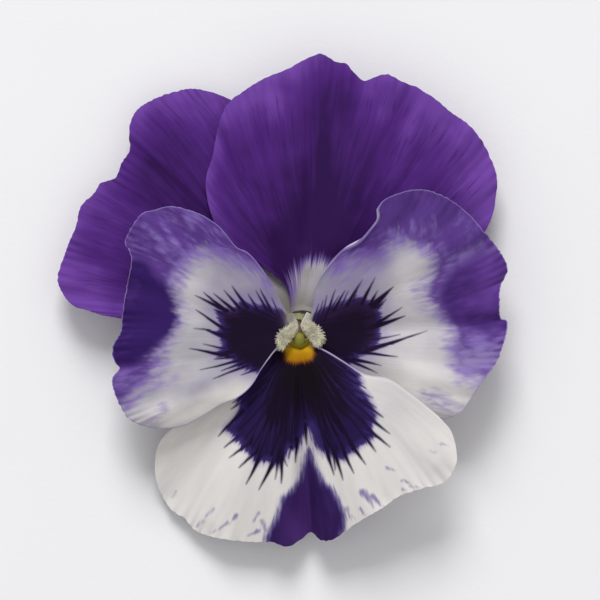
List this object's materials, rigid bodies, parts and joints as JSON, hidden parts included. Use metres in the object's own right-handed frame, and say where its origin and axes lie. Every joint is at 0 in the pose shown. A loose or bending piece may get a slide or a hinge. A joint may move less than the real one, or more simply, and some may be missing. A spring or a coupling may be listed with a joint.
{
  "type": "pansy flower",
  "caption": "A cut pansy bloom lying face up: purple back petals, white and violet side and lower petals with dark whiskered blotches, yellow eye",
  "frame": {"origin": "on the surface that the bloom lies on, under the middle of its bounding box", "axes": "+Z comes out of the face of the bloom, +Y points to the top of the bloom between its two upper petals, +X points to the right of the face"},
  "size_m": [0.0638, 0.07, 0.0124],
  "materials": {
    "upper_petal": "matte",
    "side_petal": "matte",
    "lower_petal": "matte",
    "sepal": "matte",
    "stalk": "satin",
    "pistil": "satin",
    "stamen": "matte",
    "beard": "matte"
  },
  "bodies": {
    "root": {"petal_upper_left": "upper_petal", "petal_upper_right": "upper_petal", "petal_side_left": "side_petal", "petal_side_right": "side_petal", "petal_lower": "lower_petal", "sepal_1": "sepal", "sepal_2": "sepal", "sepal_3": "sepal", "sepal_4": "sepal", "sepal_5": "sepal", "flower_stalk": "stalk", "pistil": "pistil", "stamen_1": "stamen", "stamen_2": "stamen", "stamen_3": "stamen", "stamen_4": "stamen", "stamen_5": "stamen", "beard_left": "beard", "beard_right": "beard"}
  },
  "joints": []
}
